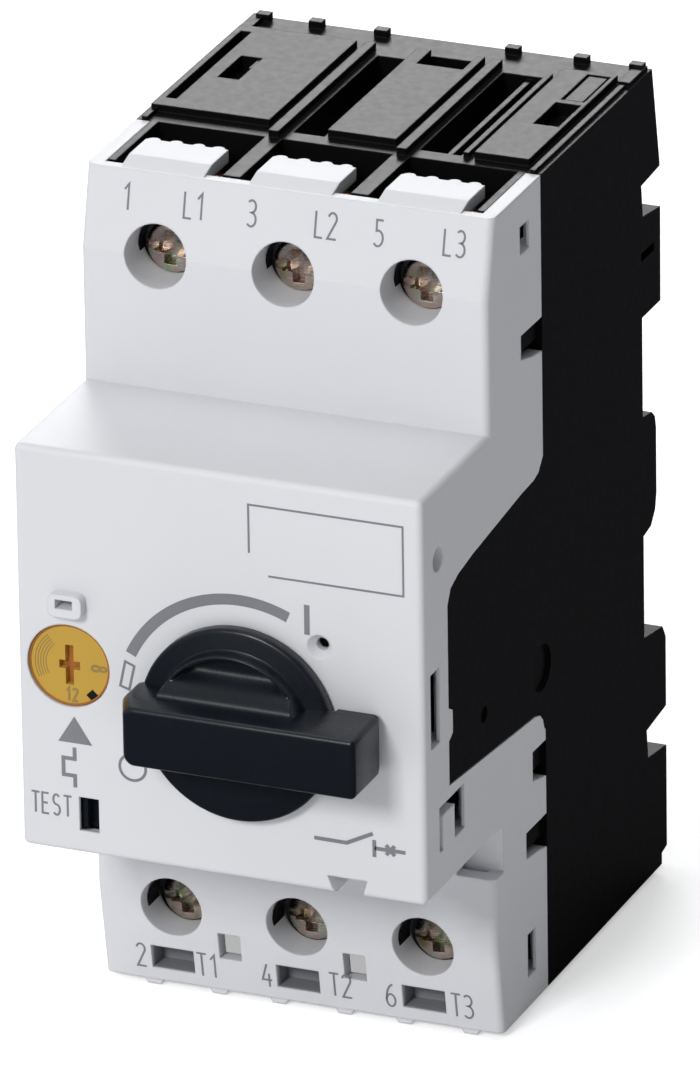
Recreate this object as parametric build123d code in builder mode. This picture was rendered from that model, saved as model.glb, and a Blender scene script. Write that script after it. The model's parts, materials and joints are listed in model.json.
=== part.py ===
"""Three-pole motor protection breaker: housing, rotary handle, setting dial, terminals and mechanism.

Frame: origin on the middle of the rail seating, +X right, +Y to the back, +Z up, millimetres.
"""
import os

from build123d import *

os.makedirs("parts", exist_ok=True)

# Overall size
HALF_WIDTH = 22.5
FACE_Y = -61.8
TOP_Z = 45.7
BOTTOM_Z = -45.9
FOOT_Z = -46.5
SEAM_Y = -28.4
SEAM_GAP = 0.15
WALL = 1.8
SIDE_WALL = 1.6
INNER_HALF = HALF_WIDTH - SIDE_WALL

# Poles and terminals
POLE_PITCH = 14.2
POLES = {1: -POLE_PITCH, 2: 0.0, 3: POLE_PITCH}
CHAMBER_HALF = 6.15
PARTITION_HALF = POLE_PITCH / 2 - CHAMBER_HALF
LINE_HOLE_Z = 37.1
LOAD_HOLE_Z = -36.6
LINE_Z = LINE_HOLE_Z - 0.5
LOAD_Z = LOAD_HOLE_Z - 0.5
SCREW_HOLE_R = 3.45
COLLAR_R = 4.3
SHANK_R = 1.75
RUNNING_GAP = 0.05
LINE_HEAD_Y = -39.3
LOAD_HEAD_Y = -38.5
HEAD_LENGTH = 2.0
HEAD_R = 2.9
CLAMP_STEPS = (2.1, 3.1, 4.0, 4.9)
RAIL_PLATE_Y = -29.2
STRIP = 1.2

# Controls
HANDLE_X = 2.35
HANDLE_Z = -4.65
SHAFT_R = 3.0
DIAL_X = -16.86
DIAL_Z = -1.5
DIAL_R = 4.55
DIAL_SHAFT_R = 2.0
TEST_Z = -18.0
FRAME_FRONT_Y = -37.0
FRAME_REAR_Y = -35.5

# Contacts
CONTACT_Z = 7.5
TIP_R = 1.9
PAD_FRONT_Y = -18.8
COIL_R = 4.8


def block(x0, x1, y0, y1, z0, z1, mode=Mode.ADD):
    """Box between two corners."""
    with Locations(((x0 + x1) / 2, (y0 + y1) / 2, (z0 + z1) / 2)):
        Box(abs(x1 - x0), abs(y1 - y0), abs(z1 - z0), mode=mode)


def rod(x, y0, y1, z, radius, mode=Mode.ADD):
    """Cylinder along Y from y0 to y1."""
    with Locations(Location((x, (y0 + y1) / 2, z), (90, 0, 0))):
        Cylinder(radius, abs(y1 - y0), mode=mode)


def upright(x, y, z0, z1, radius, mode=Mode.ADD):
    """Cylinder along Z from z0 to z1."""
    with Locations((x, y, (z0 + z1) / 2)):
        Cylinder(radius, abs(z1 - z0), mode=mode)


def side_profile(points, x0, x1, mode=Mode.ADD, margin=0.0):
    """Polygon of (y, z) points, widened by a margin, extruded along X from x0 to x1."""
    with BuildSketch(Plane.YZ.offset(x0)) as outline:
        with BuildLine():
            Polyline(*points, close=True)
        make_face()
        if margin:
            offset(amount=margin, kind=Kind.INTERSECTION)
    extrude(outline.sketch, amount=x1 - x0, mode=mode)


def front_profile(points, y0, y1, mode=Mode.ADD):
    """Polygon of (x, z) points extruded along Y from y0 to y1."""
    with BuildSketch(Plane.XZ.offset(-y0)) as outline:
        with BuildLine():
            Polyline(*points, close=True)
        make_face()
    extrude(outline.sketch, amount=-(y1 - y0), mode=mode)


def coil_spring(centre, axis, mean_r, wire_r, length, turns):
    """Helical spring of round wire along an axis."""
    with BuildLine():
        path = Helix(pitch=length / turns, height=length, radius=mean_r, center=centre, direction=axis)
    with BuildSketch(Plane(origin=path @ 0, z_dir=path % 0)) as wire_section:
        Circle(wire_r)
    sweep(wire_section.sketch, path=path, is_frenet=True)


def save(part, name):
    """Write one piece to the parts folder."""
    part.label = name
    export_step(part, f"parts/{name}.step")


# --- Outlines of the housing in the side view, as (y, z) -------------------------------------

BLOCK_FRONT_Y = -43.4
LOWER_FRONT_Y = -42.9
TOP_LIP_Y = -41.4
BOTTOM_LIP_Y = -41.1
BEND_Z = 37.2
LOWER_BEND_Z = -35.0
CAP_HALF = 22.5
BAND_FRONT_Y = -54.9

cover_outline = [
    (SEAM_Y, TOP_Z),
    (TOP_LIP_Y, TOP_Z),
    (BLOCK_FRONT_Y, BEND_Z),
    (BLOCK_FRONT_Y, CAP_HALF),
    (FACE_Y, CAP_HALF),
    (FACE_Y, -CAP_HALF),
    (LOWER_FRONT_Y, -CAP_HALF),
    (LOWER_FRONT_Y, LOWER_BEND_Z),
    (BOTTOM_LIP_Y, BOTTOM_Z),
    (SEAM_Y, BOTTOM_Z),
]
cover_cavity = [
    (SEAM_Y + 1, TOP_Z + 1),
    (TOP_LIP_Y + 1.4, TOP_Z + 1),
    (BLOCK_FRONT_Y + WALL, BEND_Z),
    (BLOCK_FRONT_Y + WALL, CAP_HALF - WALL),
    (FACE_Y + WALL, CAP_HALF - WALL),
    (FACE_Y + WALL, -CAP_HALF + WALL),
    (LOWER_FRONT_Y + WALL, -CAP_HALF + WALL),
    (LOWER_FRONT_Y + WALL, LOWER_BEND_Z),
    (BOTTOM_LIP_Y + WALL, BOTTOM_Z - 1),
    (SEAM_Y + 1, BOTTOM_Z - 1),
]
# Middle band, where the black side walls reach forward between the cover's skirts
band_outline = [
    (SEAM_Y, 15.2),
    (-28.7, 14.0),
    (-29.6, 13.0),
    (-31.0, 12.6),
    (-34.0, 12.5),
    (-48.0, 11.2),
    (-52.0, 10.6),
    (-54.0, 9.9),
    (BAND_FRONT_Y, 8.4),
    (BAND_FRONT_Y, -2.9),
    (-53.8, -3.5),
    (-53.8, -6.2),
    (BAND_FRONT_Y, -6.8),
    (BAND_FRONT_Y, -11.5),
    (-31.2, -13.7),
    (-29.8, -14.1),
    (-29.0, -14.9),
    (-28.6, -16.0),
    (SEAM_Y, -17.0),
]
NOTCHES = [
    [(SEAM_Y, 30.0), (-34.2, 30.1), (-34.2, 27.4), (-31.0, 26.6), (SEAM_Y, 26.1)],
    [(SEAM_Y, -17.6), (-32.1, -17.5), (-32.1, -20.8), (SEAM_Y, -21.9)],
    [(SEAM_Y, -26.0), (-34.1, -25.9), (-34.1, -28.9), (-30.6, -29.3), (SEAM_Y, -30.0)],
]


def past_seam(points):
    """Outline whose seam edge is carried 1 mm past the seam, for cutting."""
    return [(SEAM_Y + 1 if y >= SEAM_Y else y, z) for y, z in points]


# --- Front cover -----------------------------------------------------------------------------

TONGUE_HALF = 4.6
TONGUE_TOP = 46.3
TONGUE_REAR_Y = -34.4
SKIN = 0.4
# Side slots as (y0, y1, z0, z1)
SIDE_SLOTS = [
    (-34.2, -31.6, 39.0, 42.1),
    (-34.0, -31.7, -42.5, -37.6),
    (-59.9, -57.5, -5.7, 2.6),
    (-57.9, -51.1, -18.0, -13.0),
]

with BuildPart() as front_cover:
    side_profile(cover_outline, -HALF_WIDTH, HALF_WIDTH)
    cap_edges = [
        edge
        for edge in front_cover.edges()
        if edge.center().Y < FACE_Y + 0.1 or (edge.center().Y < -50 and abs(edge.center().Z) > CAP_HALF - 0.1)
    ]
    fillet(cap_edges, 0.7)
    upright_edges = [
        edge
        for edge in front_cover.edges().filter_by(GeomType.LINE)
        if abs(edge.center().X) > HALF_WIDTH - 0.1
        and BLOCK_FRONT_Y - 0.1 < edge.center().Y < TOP_LIP_Y + 0.3
        and abs(edge.center().Z) > CAP_HALF + 1
    ]
    fillet(upright_edges, 0.8)
    side_profile(cover_cavity, -INNER_HALF, INNER_HALF, mode=Mode.SUBTRACT)
    # Wire entry tongues that rise gently behind the lip and end in teeth, one per pole
    for pole_x in POLES.values():
        side_profile([
            (TOP_LIP_Y + 0.3, 44.9), (TOP_LIP_Y + 0.3, TOP_Z), (TOP_LIP_Y + 2.6, TONGUE_TOP),
            (TONGUE_REAR_Y, TONGUE_TOP), (TONGUE_REAR_Y, 44.9),
        ], pole_x - TONGUE_HALF, pole_x + TONGUE_HALF)
        for tooth in (-3.7, -1.2, 1.3, 3.5):
            upright(pole_x + tooth, TONGUE_REAR_Y - 0.2, 44.9, TONGUE_TOP, 0.75)
    # Side skirts end at the band and at the snap notches
    for x0, x1 in ((-HALF_WIDTH - 1, -INNER_HALF + 0.5), (INNER_HALF - 0.5, HALF_WIDTH + 1)):
        side_profile(past_seam(band_outline), x0, x1, mode=Mode.SUBTRACT, margin=SEAM_GAP)
        for notch in NOTCHES:
            side_profile(past_seam(notch), x0, x1, mode=Mode.SUBTRACT)
    # Backed marker slots of the lower block
    for pole_x in POLES.values():
        block(pole_x - 3.5, pole_x + 2.8, -40.9, -37.8, -45.0, -41.1)
        block(pole_x - 2.8, pole_x + 2.05, -44, -38.6, -44.45, -41.7, mode=Mode.SUBTRACT)
    # Screwdriver holes with their collars
    for pole_x in POLES.values():
        rod(pole_x, BLOCK_FRONT_Y + 1, -38.4, LINE_HOLE_Z, COLLAR_R)
        rod(pole_x, LOWER_FRONT_Y + 1, -37.8, LOAD_HOLE_Z, COLLAR_R)
        for hole_z in (LINE_HOLE_Z, LOAD_HOLE_Z):
            rod(pole_x, -50, -37, hole_z, SCREW_HOLE_R, mode=Mode.SUBTRACT)
    # Windows through the lower block
    for window_x in (-7.9, 6.25):
        block(window_x - 1.25, window_x + 1.25, -44, -40, -42.0, -38.9, mode=Mode.SUBTRACT)
    # Small tapered feet under the lower edge, two per pole
    for pole_x in POLES.values():
        for foot_x in (pole_x - 2.8, pole_x + 4.6):
            front_profile([
                (foot_x - 1.1, BOTTOM_Z + 0.5), (foot_x - 1.1, BOTTOM_Z), (foot_x - 0.7, FOOT_Z),
                (foot_x + 0.7, FOOT_Z), (foot_x + 1.1, BOTTOM_Z), (foot_x + 1.1, BOTTOM_Z + 0.5),
            ], BOTTOM_LIP_Y + 0.1, BOTTOM_LIP_Y + 1.7)
    # Corner pockets under the cap
    for sign in (-1, 1):
        block(sign * 18.2, sign * 23, -43.5, -40.5, -27.6, -22.4, mode=Mode.SUBTRACT)
        block(sign * 17.4, sign * HALF_WIDTH, -40.5, -39.5, -28.4, -22.4)
    # Side slots, both sides, as openings in a thin skin that is relieved behind them
    for sign in (-1, 1):
        outer = sign * (HALF_WIDTH + 1)
        skin = sign * (HALF_WIDTH - SKIN)
        inner = sign * (INNER_HALF - 1)
        for y0, y1, z0, z1 in SIDE_SLOTS:
            block(outer, inner, y0, y1, z0, z1, mode=Mode.SUBTRACT)
            block(skin, inner, y0, y1 + 2.4, z0, z1, mode=Mode.SUBTRACT)
        # Tab left standing in the angled slot, and a deep dimple
        block(sign * HALF_WIDTH, sign * (HALF_WIDTH - 1.2), -57.0, -53.8, -18.2, -14.2)
        with Locations(Location((sign * HALF_WIDTH, -57.5, 14.6), (0, 90, 0))):
            Cylinder(1.35, 2.4, mode=Mode.SUBTRACT)
    # Cap openings: handle shaft, dial, test slot, seal hole and pointer notch
    rod(HANDLE_X, FACE_Y - 1, FACE_Y + WALL + 1, HANDLE_Z, SHAFT_R + RUNNING_GAP, mode=Mode.SUBTRACT)
    rod(DIAL_X, FACE_Y - 1, FACE_Y + WALL + 0.2, DIAL_Z, DIAL_R + RUNNING_GAP, mode=Mode.SUBTRACT)
    block(-16.0, -13.8, FACE_Y - 1, FACE_Y + WALL + 1, TEST_Z - 1.9, TEST_Z + 1.9, mode=Mode.SUBTRACT)
    block(-18.0, -13.8, FACE_Y + SKIN, FACE_Y + WALL + 1, TEST_Z - 2.3, TEST_Z + 1.9, mode=Mode.SUBTRACT)
    with Locations(Location((11.1, FACE_Y + 0.45, 4.85), (90, 0, 0))):
        Cone(bottom_radius=0.75, top_radius=1.35, height=0.92, mode=Mode.SUBTRACT)
    rod(11.1, FACE_Y - 0.1, FACE_Y + WALL + 1, 4.85, 0.7, mode=Mode.SUBTRACT)
    pointer_notch = [(11.6, -20.6), (16.0, -20.6), (15.2, -23.5), (12.8, -23.5)]
    front_profile(pointer_notch, FACE_Y - 1, FACE_Y + 5, mode=Mode.SUBTRACT)
    # Seal lug with its wire hole
    with BuildSketch(Plane.XZ.offset(-FACE_Y)):
        with Locations((-16.7, 5.6)):
            RectangleRounded(3.8, 2.6, 0.8)
    extrude(amount=1.2)
    block(-17.7, -15.8, FACE_Y - 1.5, FACE_Y + 1.5, 5.3, 6.3, mode=Mode.SUBTRACT)
save(front_cover.part, "front_cover")

# --- Base housing ----------------------------------------------------------------------------

CHAMBER_REAR_Y = -4.0
CHAMBER_TOP = 41.5
base_outline = [
    (SEAM_Y + SEAM_GAP, TOP_Z),
    (3.3, TOP_Z),
    (5.3, 34.5),
    (5.3, 34.1),
    (0.0, 33.8),
    (0.4, 30.2),
    (5.4, 29.5),
    (5.3, 18.9),
    (0.0, 18.9),
    (0.0, 7.6),
    (2.6, 7.2),
    (3.5, 6.4),
    (3.8, 5.0),
    (3.8, -2.4),
    (3.4, -4.2),
    (2.2, -5.6),
    (0.0, -6.0),
    (0.0, -17.7),
    (5.3, -18.5),
    (6.2, -20.0),
    (6.2, -28.0),
    (0.5, -28.6),
    (0.9, -31.9),
    (6.2, -32.6),
    (6.2, -44.3),
    (4.7, -44.6),
    (4.7, BOTTOM_Z),
    (SEAM_Y + SEAM_GAP, BOTTOM_Z),
]
RIB_FRONT_Y = -39.6
SLIDE_POCKET_HALF = 8.3
DECK_Z = 45.7
PLATE_TOP = 46.5

with BuildPart() as base_housing:
    side_profile(base_outline, -HALF_WIDTH, HALF_WIDTH)
    for pole_x in POLES.values():
        x0, x1 = pole_x - CHAMBER_HALF, pole_x + CHAMBER_HALF
        block(x0, x1, SEAM_Y - 1, CHAMBER_REAR_Y, -CHAMBER_TOP, CHAMBER_TOP, mode=Mode.SUBTRACT)
    # Side walls of the middle band and the snap hooks in the cover's notches
    for x0, x1 in ((-HALF_WIDTH, -INNER_HALF), (INNER_HALF, HALF_WIDTH)):
        side_profile([(SEAM_Y + 2 if y >= SEAM_Y else y, z) for y, z in band_outline], x0, x1)
    for sign in (-1, 1):
        for notch in NOTCHES:
            mid_z = (notch[1][1] + notch[2][1]) / 2
            front_y = notch[1][0] + 0.8
            x0, x1 = sign * (INNER_HALF - 0.9), sign * (HALF_WIDTH - 0.5)
            block(x0, x1, front_y, SEAM_Y + 1, mid_z - 1.0, mid_z + 1.0)
    # Terminal partitions that reach forward between the poles, with thin edge ribs outside
    for rib_x in (-POLE_PITCH / 2, POLE_PITCH / 2):
        block(rib_x - PARTITION_HALF, rib_x + PARTITION_HALF, RIB_FRONT_Y, SEAM_Y + 1, 28.0, DECK_Z)
        block(rib_x - PARTITION_HALF, rib_x + PARTITION_HALF, -38.2, SEAM_Y + 1, BOTTOM_Z, -28.0)
    # Shelves that close the terminal chambers towards the mechanism
    block(-INNER_HALF + 0.1, INNER_HALF - 0.1, -41.4, SEAM_Y + 1, 27.0, 28.2)
    block(-INNER_HALF + 0.1, INNER_HALF - 0.1, -39.3, -35.4, -28.2, -27.0)
    for rib_x in (-20.45, 20.45):
        block(rib_x - 0.4, rib_x + 0.4, RIB_FRONT_Y, SEAM_Y + 1, 42.5, DECK_Z)
    # Deck: raised plates, pockets beside them, ridges over the partitions
    block(-5.8, -2.3, -26.2, -3.0, DECK_Z - 3.6, DECK_Z + 1, mode=Mode.SUBTRACT)
    block(8.3, 12.9, -26.2, -3.0, DECK_Z - 3.6, DECK_Z + 1, mode=Mode.SUBTRACT)
    block(13.3, 13.9, -26.6, -3.0, DECK_Z - 0.1, PLATE_TOP - 0.2)
    block(-21.95, -8.7, -25.6, -1.6, DECK_Z - 0.1, PLATE_TOP)
    block(-1.95, 5.65, -26.1, -1.4, DECK_Z - 0.1, PLATE_TOP)
    block(14.55, 20.55, -26.6, -1.5, DECK_Z - 0.1, PLATE_TOP)
    for ridge_x in (-7.15, 7.1):
        block(ridge_x - 0.55, ridge_x + 0.55, SEAM_Y + SEAM_GAP, -1.5, DECK_Z - 0.1, PLATE_TOP)
    block(11.0, 11.6, -26.3, -2.9, DECK_Z - 3.7, DECK_Z - 0.4)
    for sign in (-1, 1):
        block(sign * 21.3, sign * 21.9, SEAM_Y + SEAM_GAP, -3.0, DECK_Z - 0.1, PLATE_TOP - 0.4)
        block(sign * 20.9, sign * 22.2, -2.4, 2.8, DECK_Z - 0.1, PLATE_TOP - 0.3)
    block(-21.2, -20.0, -23.5, -3.2, DECK_Z - 0.5, PLATE_TOP + 0.5, mode=Mode.SUBTRACT)
    block(-18.4, -16.0, -16.3, -9.8, DECK_Z - 0.8, PLATE_TOP + 0.5, mode=Mode.SUBTRACT)
    block(-16.5, -16.0, -12.4, -9.8, DECK_Z - 0.9, PLATE_TOP - 0.2)
    block(17.3, 20.1, -17.2, -10.8, DECK_Z - 0.8, PLATE_TOP + 0.5, mode=Mode.SUBTRACT)
    block(-0.4, 4.8, -5.6, -1.2, DECK_Z - 2.6, DECK_Z + 1, mode=Mode.SUBTRACT)
    # Cover strip let into the right plate behind its pocket
    block(17.5, 20.1, -9.9, -2.3, PLATE_TOP - 0.6, PLATE_TOP + 0.5, mode=Mode.SUBTRACT)
    block(17.8, 19.8, -9.6, -2.6, PLATE_TOP - 0.7, PLATE_TOP - 0.1)
    # Small tabs along the rear edge of the deck
    for tab_x in (-20.9, -14.9, -7.5, 7.3, 15.0, 21.2):
        block(tab_x - 0.75, tab_x + 0.75, 1.9, 3.0, DECK_Z - 0.6, PLATE_TOP)
    # Upper rail noses
    for nose_x in (-11.5, 11.5):
        block(nose_x - 3.5, nose_x + 3.5, 1.6, 4.2, 16.6, 19.6)
    # Pocket for the rail slide, with the post that carries its spring
    block(-SLIDE_POCKET_HALF, SLIDE_POCKET_HALF, 0.3, 4.3, BOTTOM_Z - 1, -17.0, mode=Mode.SUBTRACT)
    block(-1.2, 1.2, 0.0, 4.6, -42.4, -41.4)
    # Finger slots in the hook sides, round dimples in the side walls
    for sign in (-1, 1):
        outer = sign * (HALF_WIDTH + 1)
        block(outer, sign * (HALF_WIDTH - 1.2), -0.2, 3.6, 25.2, 26.2, mode=Mode.SUBTRACT)
        with Locations(Location((sign * HALF_WIDTH, -29.3, -9.1), (0, 90, 0))):
            Cylinder(2.6, 0.8, mode=Mode.SUBTRACT)
        with Locations(Location((sign * HALF_WIDTH, -45.4, -7.7), (0, 90, 0))):
            Cylinder(0.9, 0.8, mode=Mode.SUBTRACT)
save(base_housing.part, "base_housing")

# --- Rail slide and its spring ---------------------------------------------------------------

with BuildPart() as rail_slide:
    block(-8.0, 8.0, 0.6, 4.0, -44.6, -18.0)
    hook = [(0.6, -18.2), (4.0, -18.2), (3.6, -15.9), (1.7, -15.9), (1.7, -17.8), (0.6, -17.8)]
    side_profile(hook, -8.0, 8.0)
    block(-2.1, 2.1, 0, 5, -43.0, -29.5, mode=Mode.SUBTRACT)
    block(-5.5, 5.5, 1.4, 5, -28.0, -23.0, mode=Mode.SUBTRACT)
save(rail_slide.part, "rail_slide")

with BuildPart() as rail_slide_spring:
    coil_spring((0, 2.3, -41.0), (0, 0, 1), 1.25, 0.25, 11.1, 8)
save(rail_slide_spring.part, "rail_slide_spring")

# --- Mechanism frame -------------------------------------------------------------------------

LATCH_X = -6.0
LATCH_Z = -14.0
TEST_SPRING_END = -2.6

with BuildPart() as mechanism_frame:
    block(-20.3, 20.3, FRAME_FRONT_Y, FRAME_REAR_Y, -20.4, 20.4)
    rod(HANDLE_X, FRAME_FRONT_Y - 1.5, FRAME_FRONT_Y, HANDLE_Z, 4.6)
    rod(HANDLE_X, FRAME_FRONT_Y - 2, FRAME_REAR_Y + 1, HANDLE_Z, SHAFT_R + RUNNING_GAP, mode=Mode.SUBTRACT)
    rod(DIAL_X, FRAME_FRONT_Y - 2, FRAME_REAR_Y + 1, DIAL_Z, DIAL_SHAFT_R + RUNNING_GAP, mode=Mode.SUBTRACT)
    block(-19.4, -15.2, FRAME_FRONT_Y - 1, FRAME_REAR_Y + 1, -21, -15.2, mode=Mode.SUBTRACT)
    block(-8.6, -5.0, FRAME_FRONT_Y - 1, FRAME_REAR_Y + 1, -10.3, -7.5, mode=Mode.SUBTRACT)
    rod(LATCH_X, -44.0, FRAME_FRONT_Y, LATCH_Z, 1.2)
    for corner_x in (-17.5, 17.5):
        block(corner_x - 1.5, corner_x + 1.5, -59.5, FRAME_FRONT_Y, 15.0, 18.0)
    # Stop post for the test lever's spring
    block(TEST_SPRING_END, TEST_SPRING_END + 1.2, -59.5, FRAME_FRONT_Y, -19.5, -16.3)
save(mechanism_frame.part, "mechanism_frame")

# --- Handle ----------------------------------------------------------------------------------

DISC_R = 10.7
DISC_REAR_Y = FACE_Y - 0.25
DISC_FRONT_Y = FACE_Y - 1.9
HUB_R = 8.5
HUB_FRONT_Y = FACE_Y - 3.3
RAMP_FRONT_Y = FACE_Y - 4.6
BAR_FRONT_Y = -69.8
BAR_HALF = 3.3
BAR_LEFT = HANDLE_X - 11.3
BAR_RIGHT = HANDLE_X + 15.7

with BuildPart() as handle:
    rod(HANDLE_X, DISC_FRONT_Y, DISC_REAR_Y, HANDLE_Z, DISC_R)
    rim = [edge for edge in handle.edges() if edge.center().Y < DISC_FRONT_Y + 0.1]
    fillet(rim, 0.5)
    # Hub above the bar: a rim round a thumb recess, with a ramp up to the bar
    rod(HANDLE_X, HUB_FRONT_Y, DISC_FRONT_Y, HANDLE_Z, HUB_R)
    rod(HANDLE_X, HUB_FRONT_Y - 1, DISC_FRONT_Y, HANDLE_Z, HUB_R - 0.7, mode=Mode.SUBTRACT)
    x0, x1 = HANDLE_X - 9, HANDLE_X + 9
    block(x0, x1, HUB_FRONT_Y - 1, DISC_FRONT_Y, HANDLE_Z - 9, HANDLE_Z, mode=Mode.SUBTRACT)
    side_profile([
        (DISC_FRONT_Y + 0.2, HANDLE_Z),
        (RAMP_FRONT_Y, HANDLE_Z),
        (RAMP_FRONT_Y, HANDLE_Z + 3.4),
        (RAMP_FRONT_Y + 0.5, HANDLE_Z + 4.4),
        (DISC_FRONT_Y - 0.9, HANDLE_Z + 5.2),
        (DISC_FRONT_Y + 0.2, HANDLE_Z + 5.4),
    ], HANDLE_X - 5.7, HANDLE_X + 5.7)
    # Pointer bar with rounded ends
    with BuildSketch(Plane.XZ.offset(-DISC_FRONT_Y)):
        with Locations(((BAR_LEFT + BAR_RIGHT) / 2, HANDLE_Z)):
            RectangleRounded(BAR_RIGHT - BAR_LEFT, 2 * BAR_HALF, 0.9)
    extrude(amount=DISC_FRONT_Y - BAR_FRONT_Y)
    with BuildSketch(Plane.XY.offset(HANDLE_Z - BAR_HALF - 0.5)):
        with BuildLine():
            Polyline((BAR_LEFT - 0.5, BAR_FRONT_Y - 0.5), (BAR_LEFT + 1.7, BAR_FRONT_Y - 0.5),
                     (BAR_LEFT + 1.5, BAR_FRONT_Y), (BAR_LEFT, BAR_FRONT_Y + 3.6),
                     (BAR_LEFT - 0.5, BAR_FRONT_Y + 3.6), close=True)
        make_face()
    extrude(amount=2 * BAR_HALF + 1, mode=Mode.SUBTRACT)
    front_edges = [edge for edge in handle.edges() if edge.center().Y < BAR_FRONT_Y + 0.05]
    fillet(front_edges, 0.5)
    # The long end of the bar comes down close to the cap
    z0, z1 = HANDLE_Z - BAR_HALF, HANDLE_Z + BAR_HALF
    block(HANDLE_X + 9.0, BAR_RIGHT - 0.3, DISC_REAR_Y - 0.4, DISC_FRONT_Y, z0, z1)
    rod(HANDLE_X, DISC_REAR_Y - 5.0, DISC_REAR_Y, HANDLE_Z, SHAFT_R, mode=Mode.SUBTRACT)
save(handle.part, "handle")

with BuildPart() as handle_shaft:
    rod(HANDLE_X, DISC_REAR_Y - 5.0, -35.8, HANDLE_Z, SHAFT_R)
save(handle_shaft.part, "handle_shaft")

with BuildPart() as handle_cam:
    rod(HANDLE_X, -53.0, -49.5, HANDLE_Z, 5.2)
    with Locations(Location((HANDLE_X + 2.4, -51.25, HANDLE_Z + 2.4), (90, 0, 0))):
        Cylinder(3.6, 3.5)
    with Locations(Location((HANDLE_X - 3.9, -47.9, HANDLE_Z), (90, 0, 0))):
        Cylinder(0.8, 3.4)
    rod(HANDLE_X, -54.0, -45.0, HANDLE_Z, SHAFT_R, mode=Mode.SUBTRACT)
save(handle_cam.part, "handle_cam")

with BuildPart() as main_spring:
    coil_spring((HANDLE_X, -45.2, HANDLE_Z), (0, 1, 0), 3.9, 0.3, 6.0, 6)
save(main_spring.part, "main_spring")

# --- Setting dial ----------------------------------------------------------------------------

with BuildPart() as setting_dial:
    rod(DIAL_X, FACE_Y + 0.3, FACE_Y + 1.7, DIAL_Z, DIAL_R)
    for slot_x, slot_z in ((0.45, 2.2), (1.15, 0.45)):
        block(DIAL_X - slot_x, DIAL_X + slot_x, FACE_Y, FACE_Y + 1.1, DIAL_Z - slot_z, DIAL_Z + slot_z,
              mode=Mode.SUBTRACT)
save(setting_dial.part, "setting_dial")

with BuildPart() as setting_shaft:
    rod(DIAL_X, FACE_Y + 1.7, -35.8, DIAL_Z, DIAL_SHAFT_R)
    rod(DIAL_X, FACE_Y + 1.7, FACE_Y + 3.2, DIAL_Z, 3.6)
    rod(DIAL_X + 0.7, -46.0, -43.5, DIAL_Z, 2.9)
save(setting_shaft.part, "setting_shaft")

# --- Test lever, trip slide and latch --------------------------------------------------------

with BuildPart() as test_lever:
    block(-18.8, -12.0, -59.7, -57.7, -20.4, -15.4)
    block(-17.7, -15.4, -61.0, -59.6, -19.9, -16.4)
    block(-18.8, -17.4, -57.7, -32.5, -20.2, -16.0)
    block(-18.8, -17.4, -34.6, -30.6, -20.2, -7.6)
    block(-15.6, -15.0, -59.4, -58.9, TEST_Z - 1.5, TEST_Z + 1.5, mode=Mode.SUBTRACT)
save(test_lever.part, "test_lever")

with BuildPart() as test_spring:
    coil_spring((-11.7, -58.3, -17.9), (1, 0, 0), 1.3, 0.2, 8.8, 7)
save(test_spring.part, "test_spring")

TRIP_LOW = -9.5
TRIP_HIGH = -8.3
BIMETAL_OFFSET = 1.5
BIMETAL_HALF = 0.4

with BuildPart() as trip_slide:
    block(-17.1, 18.4, -35.2, -29.0, TRIP_LOW, TRIP_HIGH)
    block(-8.0, -7.2, -41.0, -35.2, TRIP_LOW, TRIP_HIGH)
    for pole_x in POLES.values():
        strip_x = pole_x + BIMETAL_OFFSET
        block(strip_x - 2.1, strip_x + 0.7, -34.5, -29.7, TRIP_LOW - 1, TRIP_HIGH + 1, mode=Mode.SUBTRACT)
save(trip_slide.part, "trip_slide")

with BuildPart() as latch_lever:
    rod(LATCH_X, -42.5, -38.5, LATCH_Z, 2.4)
    block(LATCH_X - 0.8, LATCH_X + 0.8, -42.5, -39.5, LATCH_Z, LATCH_Z + 8.0)
    block(LATCH_X - 0.8, LATCH_X + 0.8, -42.5, -39.5, LATCH_Z - 5.0, LATCH_Z)
    rod(LATCH_X, -43.0, -38.0, LATCH_Z, 1.2 + RUNNING_GAP, mode=Mode.SUBTRACT)
save(latch_lever.part, "latch_lever")

# --- Contact carrier -------------------------------------------------------------------------

with BuildPart() as contact_carrier:
    block(-19.8, 19.8, -34.5, -31.0, -2.5, 2.5)
    for pole_x in POLES.values():
        block(pole_x - 3.0, pole_x + 3.0, -31.0, -21.8, -2.2, 2.2)
        block(pole_x - 1.9, pole_x + 1.9, -30.0, -22.9, -3, 3, mode=Mode.SUBTRACT)
save(contact_carrier.part, "contact_carrier")

with BuildPart() as contact_springs:
    for pole_x in POLES.values():
        coil_spring((pole_x, -29.6, 0), (0, 1, 0), 1.3, 0.2, 5.0, 5)
save(contact_springs.part, "contact_springs")

# --- Pole pieces -----------------------------------------------------------------------------


def terminal_screw(x, z, head_y):
    """Terminal screw with a combined slot and cross head."""
    with BuildPart() as screw:
        rod(x, head_y, head_y + HEAD_LENGTH, z, HEAD_R)
        rim_edges = [edge for edge in screw.edges() if edge.center().Y < head_y + 0.05]
        fillet(rim_edges, 0.5)
        rod(x, head_y + HEAD_LENGTH, -25.3, z, SHANK_R)
        for turn in (0, 90):
            with Locations(Location((x, head_y + 0.6, z), (0, turn + 5, 0))):
                Box(4.4, 1.3, 0.85, mode=Mode.SUBTRACT)
    return screw.part


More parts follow.
